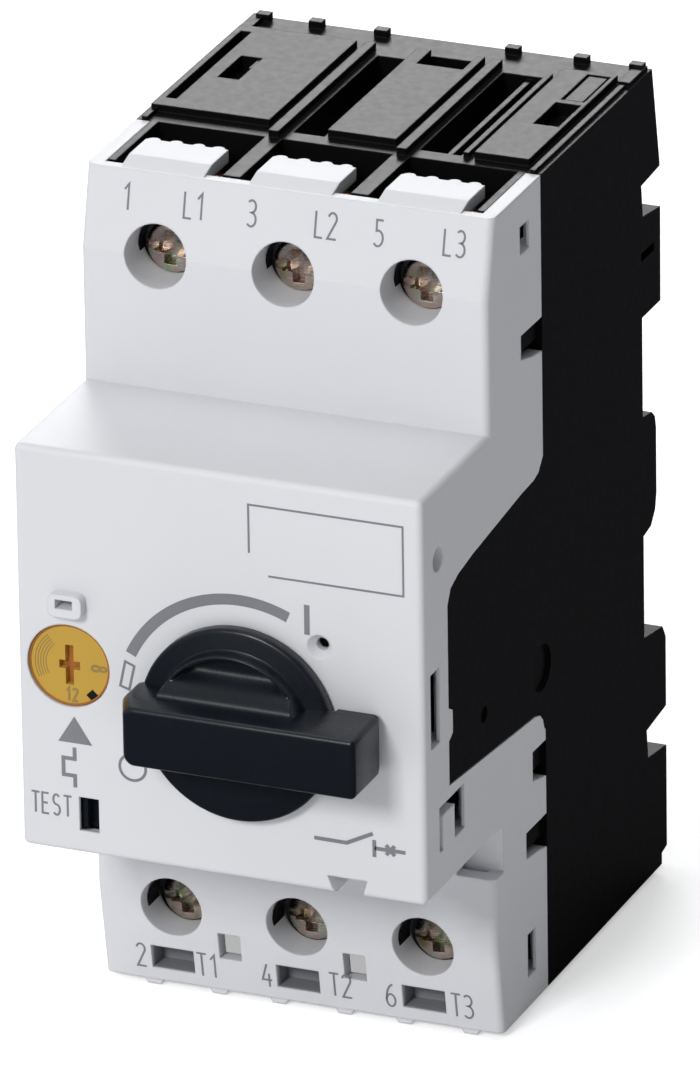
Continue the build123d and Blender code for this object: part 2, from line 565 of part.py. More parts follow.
def terminal_clamp(x, z, head_y):
    """Saddle clamp: plate under the screw head, two legs and the pad that presses the wire."""
    plate_front, plate_rear, pad_front, pad_rear = [head_y + step for step in CLAMP_STEPS]
    with BuildPart() as clamp:
        block(x - 4.6, x + 4.6, plate_front, plate_rear, z - 3.6, z + 3.6)
        block(x - 5.0, x + 5.0, pad_front, pad_rear, z - 4.5, z + 4.5)
        for side in (-1, 1):
            block(x + side * 3.4, x + side * 4.6, plate_rear, pad_front, z - 2.2, z + 2.2)
        rod(x, plate_front - 1, pad_rear + 1, z, SHANK_R + RUNNING_GAP, mode=Mode.SUBTRACT)
    return clamp.part


def rail_plate(x, z, z_low, z_high):
    """Terminal plate with the screw hole."""
    block(x - 5.0, x + 5.0, RAIL_PLATE_Y, RAIL_PLATE_Y + 1.5, z_low, z_high)
    rod(x, RAIL_PLATE_Y - 1, RAIL_PLATE_Y + 3, z, SHANK_R + RUNNING_GAP, mode=Mode.SUBTRACT)


def arc_plates(x):
    """Stacks of notched steel plates above and below the contacts."""
    with BuildPart() as chute:
        for side in (-1, 1):
            for index in range(4):
                plate_y = -27.0 + 1.9 * index
                block(x - 5.8, x + 5.8, plate_y - 0.4, plate_y + 0.4, side * 11.5, side * 20.5)
                block(x - 1.6, x + 1.6, plate_y - 1, plate_y + 1, side * 11.0, side * 14.5, mode=Mode.SUBTRACT)
    return chute.part


for number, pole_x in POLES.items():
    save(terminal_screw(pole_x, LINE_Z, LINE_HEAD_Y), f"line_screw_{number}")
    save(terminal_screw(pole_x, LOAD_Z, LOAD_HEAD_Y), f"load_screw_{number}")
    save(terminal_clamp(pole_x, LINE_Z, LINE_HEAD_Y), f"line_clamp_{number}")
    save(terminal_clamp(pole_x, LOAD_Z, LOAD_HEAD_Y), f"load_clamp_{number}")

    with BuildPart() as line_rail:
        side_profile([
            (PAD_FRONT_Y, 5.4), (PAD_FRONT_Y, 15.2), (-9.2, 15.2), (-9.2, 31.0), (-27.7, 31.0), (-27.7, 32.2),
            (-8.0, 32.2), (-8.0, 14.0), (PAD_FRONT_Y + STRIP, 14.0), (PAD_FRONT_Y + STRIP, 5.4),
        ], pole_x - 2.5, pole_x + 2.5)
        rail_plate(pole_x, LINE_Z, 31.0, 41.0)
        rod(pole_x, PAD_FRONT_Y - 1.0, PAD_FRONT_Y, CONTACT_Z, TIP_R)
    save(line_rail.part, f"line_rail_{number}")

    with BuildPart() as lower_contact:
        side_profile([
            (PAD_FRONT_Y, -5.4), (PAD_FRONT_Y, -15.2), (-8.0, -15.2), (-8.0, -5.2), (-9.2, -5.2), (-9.2, -14.0),
            (PAD_FRONT_Y + STRIP, -14.0), (PAD_FRONT_Y + STRIP, -5.4),
        ], pole_x - 2.5, pole_x + 2.5)
        rod(pole_x, PAD_FRONT_Y - 1.0, PAD_FRONT_Y, -CONTACT_Z, TIP_R)
    save(lower_contact.part, f"lower_contact_{number}")

    with BuildPart() as load_rail:
        rail_plate(pole_x, LOAD_Z, -41.0, -31.0)
        block(pole_x - 5.0, pole_x + 5.0, RAIL_PLATE_Y, -24.0, -32.2, -31.0)
        block(pole_x + BIMETAL_OFFSET + BIMETAL_HALF, pole_x + BIMETAL_OFFSET + BIMETAL_HALF + STRIP,
              -34.0, RAIL_PLATE_Y + 1.5, -31.7, -27.0)
    save(load_rail.part, f"load_rail_{number}")

    with BuildPart() as bimetal:
        strip_x = pole_x + BIMETAL_OFFSET
        block(strip_x - BIMETAL_HALF, strip_x + BIMETAL_HALF, -34.0, -30.2, -31.0, -7.2)
    save(bimetal.part, f"bimetal_{number}")

    with BuildPart() as heater:
        for index in range(7):
            ring_z = -25.5 + 2.0 * index
            block(strip_x - 1.9, strip_x + 1.9, -35.1, -29.1, ring_z - 0.45, ring_z + 0.45)
        block(strip_x + 1.2, strip_x + 1.9, -32.6, -31.6, -25.5, -13.5)
        block(strip_x - 1.1, strip_x + 1.1, -34.6, -29.6, -27, -12, mode=Mode.SUBTRACT)
    save(heater.part, f"heater_{number}")

    with BuildPart() as bridge:
        block(pole_x - 1.8, pole_x + 1.8, -24.1, -22.9, -9.2, 9.2)
        for side in (-1, 1):
            rod(pole_x, -22.9, -21.95, side * CONTACT_Z, TIP_R - 0.1)
    save(bridge.part, f"contact_bridge_{number}")

    save(arc_plates(pole_x), f"arc_chute_{number}")

    with BuildPart() as coil:
        rod(pole_x, -17.2, -5.0, 0, 3.4)
        for index in range(8):
            with Locations(Location((pole_x, -16.2 + 1.45 * index, 0), (90, 0, 0))):
                Torus(COIL_R - 1.0, 0.7)
        block(pole_x - 1.0, pole_x + 1.0, -9.2, -8.0, -5.2, -3.2)
        rod(pole_x, -18, -4, 0, 2.6, mode=Mode.SUBTRACT)
    save(coil.part, f"coil_{number}")

    with BuildPart() as plunger:
        rod(pole_x, -15.0, -9.5, 0, 2.54)
        rod(pole_x, -18.0, -15.0, 0, 1.2)
    save(plunger.part, f"plunger_{number}")

    with BuildPart() as plunger_spring:
        coil_spring((pole_x, -9.1, 0), (0, 1, 0), 1.9, 0.2, 4.6, 4)
    save(plunger_spring.part, f"plunger_spring_{number}")
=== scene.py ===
"""Looks of the motor protection breaker: materials, grip, screws, dial print and painted shade, print, lights
and camera.
"""

import json
import math

import bmesh
import bpy
from mathutils import Matrix, Vector


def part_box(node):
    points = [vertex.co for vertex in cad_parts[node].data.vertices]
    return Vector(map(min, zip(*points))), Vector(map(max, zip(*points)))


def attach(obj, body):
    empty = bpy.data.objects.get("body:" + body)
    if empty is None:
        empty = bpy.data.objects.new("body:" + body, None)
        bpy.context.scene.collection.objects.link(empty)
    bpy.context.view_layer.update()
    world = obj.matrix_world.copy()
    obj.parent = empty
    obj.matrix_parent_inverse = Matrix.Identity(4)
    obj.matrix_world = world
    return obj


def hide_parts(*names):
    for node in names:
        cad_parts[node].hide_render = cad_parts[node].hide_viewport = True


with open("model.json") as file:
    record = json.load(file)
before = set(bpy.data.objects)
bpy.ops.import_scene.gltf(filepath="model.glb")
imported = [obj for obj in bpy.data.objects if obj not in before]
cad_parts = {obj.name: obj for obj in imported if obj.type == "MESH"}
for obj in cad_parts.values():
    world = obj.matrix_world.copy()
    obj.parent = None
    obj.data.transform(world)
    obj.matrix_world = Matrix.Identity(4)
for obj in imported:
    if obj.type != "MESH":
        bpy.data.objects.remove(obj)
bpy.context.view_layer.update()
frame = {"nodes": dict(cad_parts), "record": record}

MM = 0.001
SCENE = bpy.context.scene
POLES = (1, 2, 3)

# --- Places read from the frame, in millimetres ------------------------------------------------


def node_box(name):
    """Lowest and highest corner of a CAD node, in millimetres."""
    low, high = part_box(name)
    return low / MM, high / MM


dial_low, dial_high = node_box("setting_dial")
shaft_low, shaft_high = node_box("handle_shaft")
grip_low, grip_high = node_box("handle")
CAP_Y = dial_low.y - 0.3
DIAL_X = (dial_low.x + dial_high.x) / 2
DIAL_Z = (dial_low.z + dial_high.z) / 2
DIAL_R = (dial_high.x - dial_low.x) / 2
GRIP_X = (shaft_low.x + shaft_high.x) / 2
GRIP_Z = (shaft_low.z + shaft_high.z) / 2
FLOOR_Z = node_box("front_cover")[0].z


# --- Mesh helpers ------------------------------------------------------------------------------


def new_piece(name, mesh_builder, material, body):
    """Object from a filled bmesh, with outward faces, its material and its body."""
    mesh = bpy.data.meshes.new(name)
    bmesh.ops.recalc_face_normals(mesh_builder, faces=mesh_builder.faces)
    mesh_builder.to_mesh(mesh)
    mesh_builder.free()
    piece = bpy.data.objects.new(name, mesh)
    SCENE.collection.objects.link(piece)
    piece.data.materials.append(material)
    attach(piece, body)
    return piece


def shade_by_angle(piece, degrees):
    """Smooth shading that keeps the edges sharper than an angle."""
    limit = math.radians(degrees)
    for polygon in piece.data.polygons:
        polygon.use_smooth = True
    builder = bmesh.new()
    builder.from_mesh(piece.data)
    for edge in builder.edges:
        edge.smooth = len(edge.link_faces) == 2 and edge.calc_face_angle(0.0) < limit
    builder.to_mesh(piece.data)
    builder.free()


def add_rings(builder, rings, close_start=True, close_end=True):
    """Skin over closed rings of points, all of the same count, in metres."""
    rows = [[builder.verts.new(point) for point in ring] for ring in rings]
    count = len(rows[0])
    for lower, upper in zip(rows, rows[1:]):
        for index in range(count):
            following = (index + 1) % count
            builder.faces.new((lower[index], lower[following], upper[following], upper[index]))
    if close_start:
        builder.faces.new(rows[0])
    if close_end:
        builder.faces.new(rows[-1])


def lathe_rings(x, z, profile, segments):
    """Rings about an axis along Y, from (radius, y) pairs in millimetres."""
    rings = []
    for radius, y in profile:
        ring = []
        for index in range(segments):
            angle = 2 * math.pi * index / segments
            ring.append(Vector((x + radius * math.cos(angle), y, z + radius * math.sin(angle))) * MM)
        rings.append(ring)
    return rings


def arc(cx, cz, rx, rz, start, end, steps=20):
    """Points of an elliptic arc between two angles in degrees."""
    points = []
    for index in range(steps + 1):
        angle = math.radians(start + (end - start) * index / steps)
        points.append((cx + rx * math.cos(angle), cz + rz * math.sin(angle)))
    return points


# --- Print: flat ribbons and patches laid on a panel --------------------------------------------

PRINT_RISE = 0.03
PRINT_SINK = 0.02
LAP_RISE = 0.005


class Panel:
    """Plane that prints lie on: a point on it, and its normal in the YZ plane."""

    def __init__(self, y, z, rise_y, rise_z):
        length = math.hypot(rise_y, rise_z)
        self.origin = Vector((0.0, y, z))
        self.up = Vector((0.0, rise_y, rise_z)) / length
        self.normal = Vector((0.0, -rise_z, rise_y)) / length

    def place(self, x, z, lift):
        """Point above the panel whose height is z where it meets the panel."""
        along = (z - self.origin.z) / self.up.z
        return (Vector((x, 0.0, 0.0)) + self.origin + self.up * along + self.normal * lift) * MM


def ribbon_sides(points, width, closed):
    """Left and right borders of a line of a given width, with mitred corners."""
    count = len(points)
    left, right = [], []
    for index, point in enumerate(points):
        before = points[index - 1] if index or closed else None
        after = points[(index + 1) % count] if index < count - 1 or closed else None
        here = Vector(point)
        steps = []
        if before is not None:
            steps.append((here - Vector(before)).normalized())
        if after is not None:
            steps.append((Vector(after) - here).normalized())
        normals = [Vector((-step.y, step.x)) for step in steps]
        mitre = sum(normals, Vector((0.0, 0.0))).normalized()
        reach = width / 2 / max(mitre.dot(normals[0]), 0.35)
        left.append(here + mitre * reach)
        right.append(here - mitre * reach)
    return left, right


def add_ribbon(builder, panel, points, width, closed=False, rise=PRINT_RISE):
    """Thin raised line along points."""
    left, right = ribbon_sides(points, width, closed)
    rows = []
    for a, b in zip(left, right):
        rows.append([
            panel.place(a.x, a.y, -PRINT_SINK), panel.place(a.x, a.y, rise),
            panel.place(b.x, b.y, rise), panel.place(b.x, b.y, -PRINT_SINK),
        ])
    if closed:
        rows.append(rows[0])
        add_rings(builder, rows, close_start=False, close_end=False)
        bmesh.ops.remove_doubles(builder, verts=builder.verts, dist=1e-8)
    else:
        add_rings(builder, rows)


def add_patch(builder, panel, points):
    """Thin raised polygon."""
    low = [panel.place(x, z, -PRINT_SINK) for x, z in points]
    high = [panel.place(x, z, PRINT_RISE) for x, z in points]
    add_rings(builder, [low, high])


# Single-line characters in a box one high
GLYPHS = {
    "1": [[(0.04, 0.78), (0.24, 1.0), (0.24, 0.0)]],
    "2": [arc(0.21, 0.78, 0.20, 0.22, 165, -25) + [(0.0, 0.0), (0.43, 0.0)]],
    "3": [arc(0.18, 0.765, 0.20, 0.235, 140, -90, 14) + arc(0.18, 0.265, 0.23, 0.265, 90, -140, 14)[1:]],
    "4": [[(0.24, 1.0), (0.0, 0.3), (0.46, 0.3)], [(0.33, 0.58), (0.33, 0.0)]],
    "5": [[(0.38, 1.0), (0.06, 1.0)] + arc(0.16, 0.30, 0.24, 0.30, 112, -140, 14)],
    "6": [[(0.34, 0.99), (0.20, 0.90), (0.09, 0.72), (0.03, 0.5), (0.01, 0.28)]
          + arc(0.22, 0.27, 0.21, 0.27, 180, 540, 24)[1:]],
    "8": [arc(0.2, 0.76, 0.17, 0.23, 90, 450, 20), arc(0.2, 0.27, 0.21, 0.27, 90, 450, 20)],
    "L": [[(0.0, 1.0), (0.0, 0.0), (0.37, 0.0)]],
    "T": [[(0.0, 1.0), (0.46, 1.0)], [(0.23, 1.0), (0.23, 0.0)]],
    "E": [[(0.37, 1.0), (0.0, 1.0), (0.0, 0.0), (0.37, 0.0)], [(0.0, 0.52), (0.31, 0.52)]],
    "S": [arc(0.2, 0.755, 0.18, 0.245, 35, 270, 14) + arc(0.2, 0.255, 0.19, 0.255, 90, -145, 14)[1:]],
}
GLYPH_STEP = 0.62
CONDENSE = 0.84


def add_text(builder, panel, text, x, z, height, stroke, turn=0.0):
    """Characters centred on a point of the panel."""
    width = GLYPH_STEP * (len(text) - 1) + 0.42
    height_x = height * CONDENSE
    cosine, sine = math.cos(math.radians(turn)), math.sin(math.radians(turn))
    for index, character in enumerate(text):
        for lap, line in enumerate(GLYPHS[character]):
            placed = []
            for u, v in line:
                across = (u + GLYPH_STEP * index - width / 2) * height_x
                above = (v - 0.5) * height
                placed.append((x + across * cosine - above * sine, z + across * sine + above * cosine))
            add_ribbon(builder, panel, placed, stroke, rise=PRINT_RISE + LAP_RISE * lap)


# --- Materials -----------------------------------------------------------------------------------


class Shader:
    """Small wrapper to build node trees with few words."""

    def __init__(self, name):
        self.material = bpy.data.materials.new(name)
        self.material.use_nodes = True
        self.tree = self.material.node_tree
        self.main = self.tree.nodes["Principled BSDF"]
        self.place = self.add("ShaderNodeTexCoord").outputs["Object"]

    def add(self, kind, **values):
        node = self.tree.nodes.new(kind)
        for key, value in values.items():
            setattr(node, key, value)
        return node

    def link(self, source, target):
        self.tree.links.new(source, target)

    def noise(self, per_mm, detail=3.0, stretch=(1.0, 1.0, 1.0)):
        """Noise with a feature count per millimetre."""
        mapping = self.add("ShaderNodeMapping")
        mapping.inputs["Scale"].default_value = [per_mm / MM * value for value in stretch]
        self.link(self.place, mapping.inputs["Vector"])
        node = self.add("ShaderNodeTexNoise")
        node.inputs["Scale"].default_value = 1.0
        node.inputs["Detail"].default_value = detail
        self.link(mapping.outputs["Vector"], node.inputs["Vector"])
        return node.outputs["Fac"]

    def ramp(self, source, stops):
        """Colour ramp over a value."""
        node = self.add("ShaderNodeValToRGB")
        elements = node.color_ramp.elements
        while len(elements) < len(stops):
            elements.new(0.5)
        for element, (position, colour) in zip(elements, stops):
            element.position = position
            element.color = (*colour, 1.0)
        self.link(source, node.inputs["Fac"])
        return node.outputs["Color"]

    def span(self, source, low, high):
        """Value stretched from 0.3..0.7 to low..high."""
        node = self.add("ShaderNodeMapRange")
        node.inputs["From Min"].default_value = 0.3
        node.inputs["From Max"].default_value = 0.7
        node.inputs["To Min"].default_value = low
        node.inputs["To Max"].default_value = high
        self.link(source, node.inputs["Value"])
        return node.outputs["Result"]

    def mix(self, factor, first, second):
        """Colour between two colours by a factor; a colour may be a socket or three numbers."""
        node = self.add("ShaderNodeMix", data_type="RGBA")
        self.link(factor, node.inputs["Factor"])
        for name, value in (("A", first), ("B", second)):
            socket = [s for s in node.inputs if s.name == name and s.type == "RGBA"][0]
            if isinstance(value, tuple):
                socket.default_value = (*value, 1.0)
            else:
                self.link(value, socket)
        return [s for s in node.outputs if s.type == "RGBA"][0]

    def rounded(self, radius_mm):
        """Normal that rounds sharp edges."""
        node = self.add("ShaderNodeBevel", samples=4)
        node.inputs["Radius"].default_value = radius_mm * MM
        return node.outputs["Normal"]

    def edge_mask(self, rounded):
        """One near sharp edges and zero on flats; it places the painted edge light."""
        geometry = self.add("ShaderNodeNewGeometry")
        dot = self.add("ShaderNodeVectorMath", operation="DOT_PRODUCT")
        self.link(rounded, dot.inputs[0])
        self.link(geometry.outputs["Normal"], dot.inputs[1])
        node = self.add("ShaderNodeMapRange")
        node.inputs["From Min"].default_value = 0.995
        node.inputs["From Max"].default_value = 0.80
        self.link(dot.outputs["Value"], node.inputs["Value"])
        return node.outputs["Result"]

    def bump(self, height, depth_mm, normal=None):
        """Bump of a given depth, on the rounded normal where there is one."""
        node = self.add("ShaderNodeBump")
        node.inputs["Strength"].default_value = 1.0
        node.inputs["Distance"].default_value = depth_mm * MM
        self.link(height, node.inputs["Height"])
        if normal is not None:
            self.link(normal, node.inputs["Normal"])
        self.link(node.outputs["Normal"], self.main.inputs["Normal"])


def shade(colour, factor):
    """Colour made lighter or darker."""
    return tuple(min(1.0, channel * factor) for channel in colour)


def moulded(name, colour, spread, roughness, specular, grain_mm, edge=1.0, radius_mm=0.2):
    """Moulded plastic: faint mottling, fine spark-erosion grain, satin patches, softened edges, and colour
    near sharp edges scaled by edge, which paints a highlight there when above one and shade when below one.
    """
    shader = Shader(name)
    broad = shader.noise(0.09, 2.0)
    fine = shader.noise(7.0, 2.0)
    base = shader.ramp(broad, [(0.3, shade(colour, 1 - spread)), (0.7, shade(colour, 1 + spread))])
    specks = shader.mix(shader.span(fine, 0.0, spread * 1.5), base, shade(colour, 0.7))
    rounded = shader.rounded(radius_mm)
    # Near sharp edges the colour is scaled by edge: a painted highlight where it is above one, painted shade
    # where it is below one
    painted_edge_light = shader.mix(shader.edge_mask(rounded), specks, shade(colour, edge))
    shader.link(painted_edge_light, shader.main.inputs["Base Color"])
    shader.link(shader.span(shader.noise(1.1, 3.0), roughness - 0.03, roughness + 0.03),
                shader.main.inputs["Roughness"])
    shader.main.inputs["Specular IOR Level"].default_value = specular
    shader.bump(fine, grain_mm, rounded)
    return shader.material


def metal(name, stops, roughness, scratch, per_mm=0.5):
    """Plated metal: tinted patches, fine drawn scratches, uneven gloss."""
    shader = Shader(name)
    patches = shader.noise(per_mm, 3.0)
    shader.link(shader.ramp(patches, stops), shader.main.inputs["Base Color"])
    shader.main.inputs["Metallic"].default_value = 1.0
    lines = shader.noise(1.0, 4.0, scratch)
    shader.link(shader.span(lines, roughness - 0.08, roughness + 0.10), shader.main.inputs["Roughness"])
    shader.bump(lines, 0.01, shader.rounded(0.12))
    return shader.material


# An edge factor above one paints a highlight on sharp edges; one below one paints shade there
black_plastic = moulded("black_moulding", (0.0035, 0.0035, 0.004), 0.06, 0.36, 0.09, 0.0012,
                        edge=3.0, radius_mm=0.22)
grey_plastic = moulded("light_grey_moulding", (0.70, 0.705, 0.73), 0.008, 0.45, 0.25, 0.0012,
                       edge=1.05, radius_mm=0.3)
knob_plastic = moulded("grip_moulding", (0.0045, 0.007, 0.0115), 0.06, 0.30, 0.36, 0.0012,
                       edge=2.0, radius_mm=0.15)
dial_plastic = moulded("dial_moulding", (0.56, 0.34, 0.048), 0.03, 0.40, 0.40, 0.003,
                       edge=0.9, radius_mm=0.12)
# Dark brown for the floor of the dial's cross slot and the ring round the dial: painted shade in the slot and
# in the gap round the dial
dial_painted_shade = moulded("dial_slot_shade", (0.40, 0.14, 0.025), 0.08, 0.5, 0.3, 0.004)
red_plastic = moulded("red_moulding", (0.42, 0.05, 0.035), 0.06, 0.45, 0.4, 0.004)
white_plastic = moulded("carrier_moulding", (0.60, 0.60, 0.57), 0.04, 0.5, 0.35, 0.004)
# Darker grey of the marker-pocket trays: painted shade in the pockets
pocket_shade_look = moulded("pocket_painted_shade", (0.24, 0.245, 0.26), 0.03, 0.5, 0.2, 0.0012)
print_ink = moulded("grey_print", (0.215, 0.22, 0.24), 0.05, 0.55, 0.25, 0.002, radius_mm=0.01)
dial_ink = moulded("dial_print", (0.33, 0.22, 0.07), 0.06, 0.5, 0.3, 0.002, radius_mm=0.01)
mark_ink = moulded("dial_mark", (0.008, 0.008, 0.008), 0.10, 0.5, 0.3, 0.002, radius_mm=0.01)
screw_steel = metal("passivated_steel", [
    (0.30, (0.36, 0.28, 0.15)), (0.42, (0.55, 0.50, 0.38)), (0.50, (0.62, 0.46, 0.44)),
    (0.58, (0.58, 0.56, 0.48)), (0.70, (0.44, 0.52, 0.34)),
], 0.22, (0.3, 0.3, 6.0))
steel = metal("zinc_plated_steel", [
    (0.3, (0.50, 0.51, 0.53)), (0.7, (0.62, 0.63, 0.65)),
], 0.32, (0.4, 4.0, 4.0))
copper = metal("copper", [(0.3, (0.66, 0.34, 0.20)), (0.7, (0.78, 0.44, 0.28))], 0.30, (0.4, 4.0, 4.0))
bimetal = metal("bimetal_strip", [
    (0.3, (0.55, 0.52, 0.46)), (0.7, (0.66, 0.64, 0.58)),
], 0.28, (6.0, 4.0, 0.3))

SLOT_LOOKS = {
    "black_plastic": black_plastic, "grey_plastic": grey_plastic, "knob_plastic": knob_plastic,
    "dial_plastic": dial_plastic, "red_plastic": red_plastic, "white_plastic": white_plastic,
    "steel": steel, "screw_steel": screw_steel, "copper": copper, "bimetal": bimetal,
}
for part in frame["record"]["subparts"]:
    node = frame["nodes"][part["node"]]
    look = SLOT_LOOKS[part["material_slot"]]
    if not node.material_slots:
        node.data.materials.append(look)
    for material_slot in node.material_slots:
        material_slot.material = look


# --- Rotary grip -----------------------------------------------------------------------------------

# Disc: radius, how far it stands off the cap, the crown and fall of its face, its rounded edge
DISC_R = 10.7
DISC_RISE = 1.9
DISC_CROWN = 0.2
DISC_FALL = 0.5
DISC_EDGE = 0.35
DISC_GAP = 0.25
# Half hub above the bar: a rim with a wall outside it, and where the hub fades in under the bar
HUB_R = 8.5
HUB_RISE = 3.3
HUB_LIP = 0.85
LIP_WIDTH = 0.4
WALL_INSIDE = 0.3
WALL_OUTSIDE = 0.12
HUB_FADE = 1.5
RAMP_RISE = 4.8
RAMP_END_Z = 6.3
# Pointer bar, with a left tip that leans back above a height
BAR_HALF = 3.3
BAR_RISE = CAP_Y - grip_low.y
BAR_ROUND = 0.55
BAR_LEFT_CORNER = 1.2
BAR_RIGHT_CORNER = 0.62
TIP_RISE = 4.5
TIP_LEAN = 1.5


def smooth(value, start, end):
    """Zero before start, one after end, smooth between."""
    t = min(1.0, max(0.0, (value - start) / (end - start)))
    return t * t * (3 - 2 * t)


def grip_rise(x, z):
    """How far the grip's face stands off the cap at a point measured from its axis."""
    radius = math.hypot(x, z)
    outward = min(1.0, max(0.0, (radius - HUB_R) / (DISC_R - HUB_R)))
    disc = DISC_RISE + DISC_CROWN - DISC_FALL * outward
    if radius > DISC_R - DISC_EDGE:
        inset = min(1.0, (radius - DISC_R + DISC_EDGE) / DISC_EDGE)
        disc -= DISC_EDGE * (1 - math.sqrt(max(0.0, 1 - inset * inset)))
    ramp = RAMP_RISE + (DISC_RISE - RAMP_RISE) * smooth(z, BAR_HALF, RAMP_END_Z)
    lip = smooth(radius, HUB_R - HUB_LIP, HUB_R - HUB_LIP + LIP_WIDTH)
    hub = ramp + max(0.0, HUB_RISE - ramp) * lip
    wall = smooth(radius, HUB_R - WALL_INSIDE, HUB_R + WALL_OUTSIDE)
    raised = hub + (disc - hub) * wall
    return disc + (raised - disc) * smooth(z, 0.0, HUB_FADE)


def grip_body(segments=240):
    """Disc with a raised rim and a ramp round a thumb recess above the bar, as rings about the axis."""
    recess_r = 7.5
    radii = [0.3 * step for step in range(1, 26)]
    radii += [recess_r + 0.05 * step for step in range(2, 25)]
    radii += [9.1, 9.6, 10.1]
    for angle in (0, 15, 30, 45, 60, 75, 90):
        radii.append(DISC_R - DISC_EDGE + DISC_EDGE * math.sin(math.radians(angle)))
    builder = bmesh.new()
    rings = []
    for radius in radii:
        ring = []
        for index in range(segments):
            angle = 2 * math.pi * index / segments
            x, z = radius * math.cos(angle), radius * math.sin(angle)
            ring.append(Vector((GRIP_X + x, CAP_Y - grip_rise(x, z), GRIP_Z + z)) * MM)
        rings.append(ring)
    rings += lathe_rings(GRIP_X, GRIP_Z, [(DISC_R, CAP_Y - 0.4), (DISC_R - 0.15, CAP_Y - DISC_GAP)], segments)
    add_rings(builder, rings)
    return builder


def rounded_outline(x0, x1, z0, z1, left_r, right_r, steps=8):
    """Rectangle in X and Z with its own corner radius at each end."""
    corners = [(x1 - right_r, z1 - right_r, right_r, 0), (x0 + left_r, z1 - left_r, left_r, 90),
               (x0 + left_r, z0 + left_r, left_r, 180), (x1 - right_r, z0 + right_r, right_r, 270)]
    points = []
    for cx, cz, radius, start in corners:
        points += arc(cx, cz, radius, radius, start, start + 90, steps)
    return points


def bar_body():
    """Pointer bar: rounded outline, rounded front edge, and a left tip that leans back."""
    x0, x1 = grip_low.x, grip_high.x
    builder = bmesh.new()
    levels = [(0.0, DISC_RISE - 0.5), (0.0, TIP_RISE), (0.0, BAR_RISE - BAR_ROUND)]
    for angle in (15, 30, 45, 60, 75, 90):
        inset = BAR_ROUND * (1 - math.cos(math.radians(angle)))
        levels.append((inset, BAR_RISE - BAR_ROUND * (1 - math.sin(math.radians(angle)))))
    rings = []
    for inset, rise in levels:
        lean = TIP_LEAN * max(0.0, (rise - TIP_RISE) / (BAR_RISE - TIP_RISE))
        outline = rounded_outline(x0 + lean + inset, x1 - inset, GRIP_Z - BAR_HALF + inset,
                                  GRIP_Z + BAR_HALF - inset, BAR_LEFT_CORNER - inset,
                                  BAR_RIGHT_CORNER - inset)
        rings.append([Vector((x, CAP_Y - rise, z)) * MM for x, z in outline])
    add_rings(builder, rings)
    foot = rounded_outline(GRIP_X + DISC_R + 0.1, x1 - 0.25, GRIP_Z - BAR_HALF + 0.05,
                           GRIP_Z + BAR_HALF - 0.05, 0.3, 0.5)
    foot_rings = []
    for rise in (DISC_GAP + 0.4, DISC_RISE):
        foot_rings.append([Vector((x, CAP_Y - rise, z)) * MM for x, z in foot])
    add_rings(builder, foot_rings)
    return builder


grip = new_piece("grip_disc", grip_body(), knob_plastic, "handle_body")
shade_by_angle(grip, 50)
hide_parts("handle")
bar = new_piece("grip_bar", bar_body(), knob_plastic, "handle_body")
shade_by_angle(bar, 24)


# --- Terminal screws --------------------------------------------------------------------------------

HEAD_R = 2.9
HEAD_LENGTH = 2.0
SHANK_R = 1.75
THREAD_PITCH = 0.7
THREAD_DEPTH = 0.28


def carve(piece, cutter_builder):
    """Cut a closed shape out of a piece."""
    mesh = bpy.data.meshes.new("cutter")
    bmesh.ops.recalc_face_normals(cutter_builder, faces=cutter_builder.faces)
    cutter_builder.to_mesh(mesh)
    cutter_builder.free()
    cutter = bpy.data.objects.new("cutter", mesh)
    SCENE.collection.objects.link(cutter)
    modifier = piece.modifiers.new("carve", "BOOLEAN")
    modifier.object = cutter
    modifier.operation = "DIFFERENCE"
    modifier.solver = "EXACT"
    modifier.use_self = True
    graph = bpy.context.evaluated_depsgraph_get()
    carved = bpy.data.meshes.new_from_object(piece.evaluated_get(graph))
    piece.modifiers.clear()
    piece.data = carved
    bpy.data.objects.remove(cutter)


def add_wedge(builder, x, z, y_front, y_back, turn, half_length, half_width, taper):
    """Box that narrows towards the back, turned about the screw axis."""
    rings = []
    for y, shrink in ((y_front, 0.0), (y_back, taper)):
        ring = []
        for u, v in ((1, 1), (-1, 1), (-1, -1), (1, -1)):
            along, across = u * (half_length - shrink), v * (half_width - shrink * 0.35)
            px = along * math.cos(turn) - across * math.sin(turn)
            pz = along * math.sin(turn) + across * math.cos(turn)
            ring.append(Vector((x + px, y, z + pz)) * MM)
        rings.append(ring)
    add_rings(builder, rings)


def screw(name, node, body, turn_degrees):
    """Combination-head terminal screw in place of a CAD screw."""
    low, high = node_box(node)
    x, z, head_y, tip_y = (low.x + high.x) / 2, (low.z + high.z) / 2, low.y, high.y
    profile = [(0.6, head_y), (1.6, head_y + 0.02), (2.25, head_y + 0.10), (2.6, head_y + 0.24),
               (2.8, head_y + 0.48), (HEAD_R, head_y + 0.85), (HEAD_R, head_y + HEAD_LENGTH - 0.15),
               (HEAD_R - 0.15, head_y + HEAD_LENGTH), (SHANK_R, head_y + HEAD_LENGTH)]
    y = head_y + HEAD_LENGTH + 0.3
    while y < tip_y - 0.8:
        profile += [(SHANK_R, y), (SHANK_R - THREAD_DEPTH, y + THREAD_PITCH / 2)]
        y += THREAD_PITCH
    profile += [(SHANK_R - 0.1, tip_y - 0.5), (SHANK_R - 0.5, tip_y)]
    builder = bmesh.new()
    add_rings(builder, lathe_rings(x, z, profile, 64))
    piece = new_piece(name, builder, screw_steel, body)
    turn = math.radians(turn_degrees)
    for y_back, half_length, half_width, taper, extra_turn in RECESS_CUTS:
        cutter = bmesh.new()
        add_wedge(cutter, x, z, head_y - 0.5, head_y + y_back, turn + math.radians(extra_turn),
                  half_length, half_width, taper)
        carve(piece, cutter)
    shade_by_angle(piece, 32)
    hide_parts(node)


